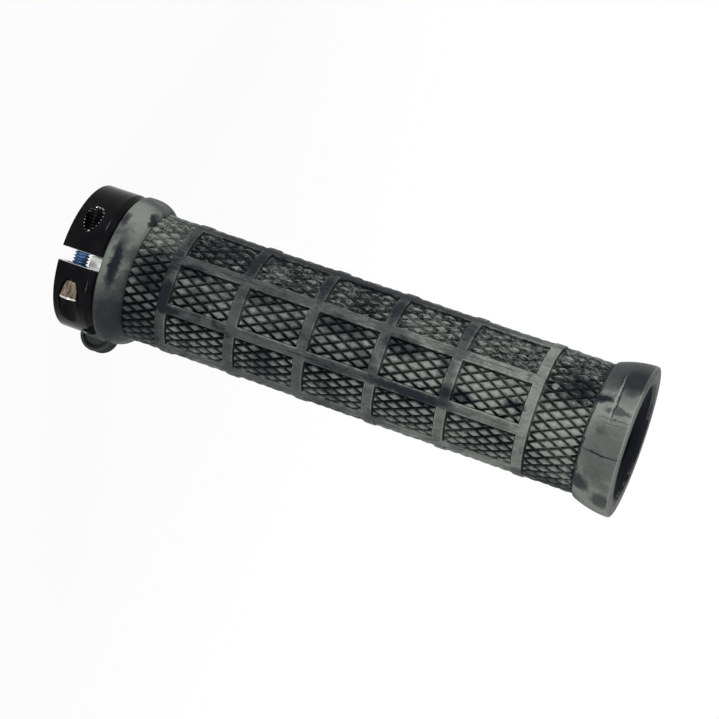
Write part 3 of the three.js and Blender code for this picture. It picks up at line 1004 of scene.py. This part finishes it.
def inboard_flange():
    """The rounded flange beside the clamp ring, hollow over the core's collar."""
    corner = FLANGE_RADIUS - FLANGE_EDGE, SLEEVE_START + FLANGE_EDGE
    edge = arc(corner, (FLANGE_EDGE, FLANGE_EDGE), -90, 0, 6)
    shoulder_radii = FLANGE_RADIUS - FLANGE_FOOT, FLANGE_END - FLANGE_SHOULDER
    shoulder = arc((FLANGE_FOOT, FLANGE_SHOULDER), shoulder_radii, 0, 88, 18)
    profile = [(COLLAR_RECESS, SLEEVE_START)] + edge + shoulder
    profile += [(FLANGE_FOOT - 0.3, FLANGE_END), (SLEEVE_BORE, FLANGE_END)]
    profile += [(SLEEVE_BORE, COLLAR_RECESS_TOP), (COLLAR_RECESS, COLLAR_RECESS_TOP)]
    return loop_solid("flange", profile, FLANGE_SEGMENTS)


def outboard_flange():
    """The flared flange at the open end, with its inward lip."""
    edge_start = GRIP_LENGTH - OUTER_EDGE
    flare = []
    for i in range(1, FLARE_STEPS + 1):
        along = i / FLARE_STEPS
        outward = 1 - (1 - along) ** 2
        radius = OUTER_FLANGE_FOOT + (OUTER_FLANGE_RADIUS - OUTER_FLANGE_FOOT) * outward
        flare.append((radius, OUTER_FLANGE_START + (edge_start - OUTER_FLANGE_START) * along))
    foot_centre = OUTER_FLANGE_FOOT - FOOT_EDGE, OUTER_FLANGE_START + FOOT_EDGE
    foot = arc(foot_centre, (FOOT_EDGE, FOOT_EDGE), -90, -10, 3)
    edge = arc((OUTER_FLANGE_RADIUS - OUTER_EDGE, edge_start), (OUTER_EDGE, OUTER_EDGE), 5, 90, 7)
    mouth_centre = MOUTH_RADIUS + MOUTH_EDGE, GRIP_LENGTH - MOUTH_EDGE
    mouth = arc(mouth_centre, (MOUTH_EDGE, MOUTH_EDGE), 90, 170, 3)
    mouth += [(MOUTH_RADIUS - 0.4, GRIP_LENGTH - 1.2), (LIP_RADIUS, GRIP_LENGTH - 2.2)]
    profile = [(SLEEVE_BORE, OUTER_FLANGE_START)] + foot + flare + edge + mouth
    profile += [(LIP_RADIUS, LIP_START), (SLEEVE_BORE, LIP_START)]
    return loop_solid("flange", profile, FLANGE_SEGMENTS)


def overhang_tab():
    """The coin-shaped tab under the inboard flange, with a fine groove inside its rim."""
    half = TAB_THICKNESS / 2
    groove = [(TAB_RADIUS - inwards, half - depth) for inwards, depth in TAB_GROOVE]
    rim = arc((TAB_RADIUS - TAB_EDGE, half - TAB_EDGE), (TAB_EDGE, TAB_EDGE), 90, 0, 5)
    upper = groove + rim
    lower = [(radius, -height) for radius, height in reversed(upper)]
    tab = rod("tab", lower + upper, 72)
    apply_matrix(tab, Matrix.Rotation(-math.pi / 2, 4, "X"))
    outwards, height = TAB_CENTRE
    centre = Matrix.Translation(Vector((outwards, 0, height)) * MM)
    apply_matrix(tab, Matrix.Rotation(TAB_AZIMUTH, 4, "Z") @ centre)
    clear_radius = RING_RADIUS + TAB_GAP
    around_ring = [
        (clear_radius, -1.0),
        (clear_radius, RING_HEIGHT - RING_CHAMFER_HEIGHT),
        (clear_radius - RING_CHAMFER, RING_HEIGHT + TAB_GAP),
    ]
    return boolean(tab, rod("around_ring", around_ring, 180), "DIFFERENCE")


def make_sleeve(settings):
    """The rubber sleeve: the knurl, with ribs, rails, flanges and the tab joined to it."""
    tube = KnurledTube(settings)
    sleeve = make_object("sleeve_skin", tube.verts, tube.faces, 24)
    for tool in trench_tools():
        boolean(sleeve, tool, "DIFFERENCE")
    raised = outboard_flange()
    for part in rib_rings(settings) + rail_bars(settings) + [inboard_flange()]:
        boolean(raised, part, "UNION")
    boolean(sleeve, raised, "UNION")
    boolean(sleeve, overhang_tab(), "UNION", 26)
    hand_over(sleeve, "rubber_sleeve", marbled_rubber(settings))


# The clamp ring, its screw and the core


def ring_turn():
    """Turns +X to the middle of the ring's slot."""
    return Matrix.Rotation(SLOT_AZIMUTH, 4, "Z")


def along_bolt(obj, start=0.0, tilt=0.0):
    """Turns a rod along Z into the bolt's direction in the ring, from a start along it and with a tilt."""
    to_y = Matrix.Rotation(tilt, 4, "Z") @ Matrix.Rotation(-math.pi / 2, 4, "X")
    return apply_matrix(obj, Matrix.Translation(Vector((BOLT_OFFSET, start, BOLT_HEIGHT)) * MM) @ to_y)


def threaded_rod(name, root, crest, start, end, segments=48):
    """A rod with a helical thread, along Z."""
    count = round((end - start) / THREAD_PITCH * THREAD_STEPS)
    profiles = []
    for i in range(segments):
        profile = []
        for j in range(count + 1):
            height = start + (end - start) * j / count
            phase = (height / THREAD_PITCH - i / segments) % 1.0
            raised = limited(THREAD_CROWN - THREAD_FLANK * abs(phase - 0.5))
            profile.append((root + (crest - root) * raised, height))
        profiles.append(profile)
    return turned(name, profiles, 40)


def ring_section():
    """The ring's section. The chamfer on the sleeve's side has softened edges."""
    shoulder, soft, rise, bore_edge = RING_HEIGHT - RING_CHAMFER_HEIGHT, 0.12, 0.14, 0.35
    chamfer_end = RING_RADIUS - RING_CHAMFER
    edge = arc((RING_RADIUS - RING_EDGE, RING_EDGE), (RING_EDGE, RING_EDGE), -90, 0, 5)
    return edge + [
        (RING_RADIUS, shoulder - soft),
        (RING_RADIUS - soft / 4, shoulder),
        (RING_RADIUS - soft, shoulder + rise),
        (chamfer_end + 0.1, RING_HEIGHT - rise),
        (chamfer_end - 0.05, RING_HEIGHT),
        (RING_BORE_RADIUS + bore_edge, RING_HEIGHT),
        (RING_BORE_RADIUS, RING_HEIGHT - bore_edge),
        (RING_BORE_RADIUS, bore_edge),
        (RING_BORE_RADIUS + bore_edge, 0.0),
    ]


def slanted_pocket():
    """The part of the screw's pocket that leans out for the key, cut off at the seat."""
    pocket = rod("pocket", [(POCKET_RADIUS, 0.0), (POCKET_RADIUS, RING_RADIUS + 1)], 64)
    along_bolt(pocket, HEAD_SEAT, KEY_ACCESS_TILT)
    reach = 4 * POCKET_RADIUS
    low = BOLT_OFFSET - reach, HEAD_SEAT - reach, BOLT_HEIGHT - reach
    high = BOLT_OFFSET + reach, HEAD_SEAT, BOLT_HEIGHT + reach
    return boolean(pocket, block("seat", low, high), "DIFFERENCE")


def make_ring(settings):
    """The clamp ring, with its slot, the screw's hole and pocket, and the tapped hole."""
    ring = loop_solid("ring_skin", ring_section(), 240, 28)
    slot = block("slot", (5.0, -SLOT_WIDTH / 2, -1.0), (RING_RADIUS + 1, SLOT_WIDTH / 2, RING_HEIGHT + 1))
    boolean(ring, slot, "DIFFERENCE")
    hole = rod("hole", [(SHANK_RADIUS + GAP, 0.0), (SHANK_RADIUS + GAP, HEAD_SEAT + 1)], 64)
    boolean(ring, along_bolt(hole), "DIFFERENCE")
    pocket = rod("pocket", [(POCKET_RADIUS, HEAD_SEAT), (POCKET_RADIUS, RING_RADIUS + 1)], 64)
    boolean(ring, along_bolt(pocket), "DIFFERENCE")
    boolean(ring, slanted_pocket(), "DIFFERENCE")
    bevel(ring, settings.ring_bevel, 2, 38)
    crests, roots = SHANK_RADIUS + THREAD_CLEARANCE, SHANK_RADIUS + GAP
    tapped = threaded_rod("tapped", crests, roots, -RING_RADIUS, -SLOT_WIDTH / 2 + 0.5)
    boolean(ring, along_bolt(tapped), "DIFFERENCE", 38)
    apply_matrix(ring, ring_turn())
    round_normals(ring, RING_RADIUS)
    hand_over(ring, "clamp_ring", anodised(settings))


def make_bolt(settings):
    """The cap screw, with its thread and the hex socket in its head."""
    bolt = threaded_rod("bolt_skin", SHANK_RADIUS - THREAD_DEPTH, SHANK_RADIUS, BOLT_TIP, HEAD_NECK)
    fillet = arc((HEAD_RADIUS - HEAD_EDGE, HEAD_TOP - HEAD_EDGE), (HEAD_EDGE, HEAD_EDGE), 0, 90, 4)
    head = rod("head", [(HEAD_RADIUS - 0.15, HEAD_NECK), (HEAD_RADIUS, HEAD_BOTTOM)] + fillet, 64)
    boolean(bolt, head, "UNION", 35)
    socket = rod("socket", [(SOCKET_RADIUS, HEAD_TOP - SOCKET_DEPTH), (SOCKET_RADIUS, HEAD_TOP + 1)], 6)
    boolean(bolt, socket, "DIFFERENCE", 35)
    along_bolt(bolt)
    apply_matrix(bolt, ring_turn())
    hand_over(bolt, "clamp_bolt", plated(settings))


def make_core(settings):
    """The nylon tube under the rubber, with its collar and the key that fills the ring's slot."""
    profile = [
        (BAR_RADIUS, CORE_START),
        (COLLAR_RADIUS - COLLAR_EDGE, CORE_START),
        (COLLAR_RADIUS, CORE_START + COLLAR_EDGE),
        (COLLAR_RADIUS, COLLAR_TOP),
        (CORE_RADIUS, COLLAR_TOP),
        (CORE_RADIUS, CORE_END),
        (BAR_RADIUS, CORE_END),
    ]
    core = loop_solid("core_skin", profile, 160)
    half = SLOT_WIDTH / 2 - GAP
    key = block("key", (BAR_RADIUS, -half, CORE_START - KEY_LENGTH), (KEY_RADIUS, half, CORE_START + 0.5))
    bevel(key, KEY_EDGE, 3)
    apply_matrix(key, ring_turn())
    boolean(core, key, "UNION")
    bore = rod("bore", [(BAR_RADIUS, 0.0), (BAR_RADIUS, GRIP_LENGTH)], 160)
    boolean(core, bore, "DIFFERENCE")
    hand_over(core, "inner_core", nylon(settings))


# The studio


def direction(azimuth, elevation):
    """A unit vector from two angles in radians."""
    level = math.cos(elevation)
    return Vector((level * math.cos(azimuth), level * math.sin(azimuth), math.sin(elevation)))


def area_light(name, azimuth, elevation, distance, size, power):
    """A soft lamp that faces the middle of the grip. Its sides are across and up."""
    data = bpy.data.lights.new(name, "AREA")
    data.shape = "RECTANGLE"
    data.size, data.size_y = size
    data.energy = power
    lamp = bpy.data.objects.new(name, data)
    from_grip = direction(math.radians(azimuth), math.radians(elevation))
    lamp.location = Vector(CAMERA_AIM) * MM + from_grip * distance
    lamp.rotation_euler = from_grip.to_track_quat("Z", "Y").to_euler()
    bpy.context.scene.collection.objects.link(lamp)


def make_floor(settings):
    """A level floor under the ring's inboard face."""
    corners = [(x * FLOOR_HALF, y * FLOOR_HALF, 0) for x, y in ((-1, -1), (1, -1), (1, 1), (-1, 1))]
    floor = make_object("floor", corners, [(0, 1, 2, 3)])
    if floor.data.polygons[0].normal.z < 0:
        floor.data.flip_normals()
    floor.data.materials.append(pale_floor(settings))


def make_sky(settings):
    """Soft light from all round, that the camera sees as white."""
    world = bpy.data.worlds.new("studio")
    world.use_nodes = True
    tree = world.node_tree
    tree.nodes.clear()
    output = tree.nodes.new("ShaderNodeOutputWorld")
    background = tree.nodes.new("ShaderNodeBackground")
    background.inputs["Color"].default_value = (1, 1, 1, 1)
    strength = tree.nodes.new("ShaderNodeMix")
    strength.inputs["A"].default_value = settings.sky_strength
    strength.inputs["B"].default_value = 1.0
    tree.links.new(seen(tree), strength.inputs["Factor"])
    tree.links.new(strength.outputs["Result"], background.inputs["Strength"])
    tree.links.new(background.outputs["Background"], output.inputs["Surface"])
    bpy.context.scene.world = world


def make_camera():
    """The camera of the photograph, from the side and with the roll that the grip lies at there."""
    data = bpy.data.cameras.new("camera")
    data.lens = CAMERA_LENS
    data.sensor_width = SENSOR
    data.clip_start = 0.01
    camera = bpy.data.objects.new("camera", data)
    towards = direction(CAMERA_AZIMUTH, CAMERA_ELEVATION)
    level = Vector((-math.sin(CAMERA_AZIMUTH), math.cos(CAMERA_AZIMUTH), 0.0))
    upright = towards.cross(level)
    right = level * math.cos(CAMERA_ROLL) + upright * math.sin(CAMERA_ROLL)
    axes = Matrix((right, towards.cross(right), towards)).transposed().to_4x4()
    camera.matrix_world = Matrix.Translation((Vector(CAMERA_AIM) + towards * CAMERA_DISTANCE) * MM) @ axes
    bpy.context.scene.collection.objects.link(camera)
    bpy.context.scene.camera = camera


def make_stage(settings):
    """The floor, the light and the camera. Lamps stand at angles in degrees and distances in metres."""
    make_floor(settings)
    make_sky(settings)
    area_light("key_light", -98, 4, 0.75, (0.18, 0.26), settings.key_power)
    area_light("fill_light", 2, 10, 0.9, (0.22, 0.26), settings.fill_power)
    area_light("back_light", 120, 25, 0.9, (0.6, 0.6), settings.back_power)
    make_camera()
    bpy.context.scene.view_settings.view_transform = "Standard"


# The add-on


def millimetres(name, description, default, smallest=0.0):
    """A setting in millimetres."""
    description += ", in millimetres"
    return bpy.props.FloatProperty(name=name, description=description, default=default, min=smallest)


def fraction(name, description, default):
    """A setting from 0 to 1."""
    return bpy.props.FloatProperty(
        name=name, description=description, default=default, min=0, max=1, subtype="FACTOR"
    )


def watts(name, description, default):
    """A lamp's power."""
    return bpy.props.FloatProperty(
        name=name, description=description, default=default, min=0, unit="POWER"
    )


def tint(name, description, default):
    """A colour setting."""
    return bpy.props.FloatVectorProperty(
        name=name, description=description, default=default, min=0, max=1, subtype="COLOR"
    )


class GripSettings(bpy.types.PropertyGroup):
    """Sizes, colours and light that a user may change."""

    pad_top: bpy.props.FloatProperty(
        name="Diamond top",
        description="Width of a diamond's flat top",
        default=57,
        min=30,
        max=85,
        subtype="PERCENTAGE",
    )
    pad_unevenness: millimetres("Unevenness", "How far the diamonds' tops differ", 0.13)
    rib_edge: millimetres("Rib edge", "Rounding of the ribs and rails", 0.16, 0.02)
    ring_bevel: millimetres("Ring edge", "Rounding of the ring's cut edges", 0.16, 0.02)
    groove_dark: fraction("Groove darkness", "How much darker the grooves are", 0.95)
    rubber_light: tint("Light rubber", "Palest tone of the rubber", (0.190, 0.206, 0.184))
    rubber_mid: tint("Middle rubber", "Middle tone of the rubber", (0.048, 0.055, 0.053))
    rubber_dark: tint("Dark rubber", "Darkest tone of the rubber", (0.008, 0.0095, 0.014))
    anodised: tint("Ring", "Colour of the clamp ring", (0.0025, 0.0025, 0.003))
    plating: tint("Plating", "Colour of the screw's plating", (0.30, 0.245, 0.185))
    locking_patch: tint("Locking patch", "Colour of the patch on the thread", (0.025, 0.08, 0.22))
    nylon: tint("Core", "Colour of the nylon core", (0.90, 0.92, 0.89))
    floor_white: fraction("Floor white", "How white the floor looks", 0.95)
    sky_strength: bpy.props.FloatProperty(
        name="Sky", description="Strength of the soft light from all round", default=0.12, min=0
    )
    key_power: watts("Key", "Power of the main lamp", 6.0)
    fill_power: watts("Fill", "Power of the lamp on the other side", 6.0)
    back_power: watts("Back", "Power of the lamp behind", 0.6)


class GRIP_OT_sleeve(bpy.types.Operator):
    """Makes the ribbed and knurled rubber sleeve"""

    bl_idname = "grip.sleeve"
    bl_label = "Rubber sleeve"

    def execute(self, context):
        make_sleeve(context.scene.grip_settings)
        return {"FINISHED"}


class GRIP_OT_ring(bpy.types.Operator):
    """Makes the split clamp ring"""

    bl_idname = "grip.ring"
    bl_label = "Clamp ring"

    def execute(self, context):
        make_ring(context.scene.grip_settings)
        return {"FINISHED"}


class GRIP_OT_bolt(bpy.types.Operator):
    """Makes the clamp screw"""

    bl_idname = "grip.bolt"
    bl_label = "Clamp screw"

    def execute(self, context):
        make_bolt(context.scene.grip_settings)
        return {"FINISHED"}


class GRIP_OT_core(bpy.types.Operator):
    """Makes the nylon core"""

    bl_idname = "grip.core"
    bl_label = "Nylon core"

    def execute(self, context):
        make_core(context.scene.grip_settings)
        return {"FINISHED"}


class GRIP_OT_stage(bpy.types.Operator):
    """Makes the floor, the lamps and the camera"""

    bl_idname = "grip.stage"
    bl_label = "Stage"

    def execute(self, context):
        make_stage(context.scene.grip_settings)
        return {"FINISHED"}


OPERATORS = (GRIP_OT_sleeve, GRIP_OT_ring, GRIP_OT_bolt, GRIP_OT_core, GRIP_OT_stage)


class GRIP_PT_panel(bpy.types.Panel):
    """Lists the grip's settings and operators"""

    bl_idname = "GRIP_PT_panel"
    bl_label = "Handlebar grip"
    bl_space_type = "VIEW_3D"
    bl_region_type = "UI"
    bl_category = "Grip"

    def draw(self, context):
        settings = context.scene.grip_settings
        for name in GripSettings.__annotations__:
            self.layout.prop(settings, name)
        for operator in OPERATORS:
            self.layout.operator(operator.bl_idname)


CLASSES = (GripSettings, *OPERATORS, GRIP_PT_panel)


def register():
    for cls in CLASSES:
        bpy.utils.register_class(cls)
    bpy.types.Scene.grip_settings = bpy.props.PointerProperty(type=GripSettings)


def unregister():
    del bpy.types.Scene.grip_settings
    for cls in reversed(CLASSES):
        bpy.utils.unregister_class(cls)


def main():
    register()
    bpy.ops.grip.sleeve()
    bpy.ops.grip.ring()
    bpy.ops.grip.bolt()
    bpy.ops.grip.core()
    bpy.ops.grip.stage()


if __name__ == "__main__":
    main()
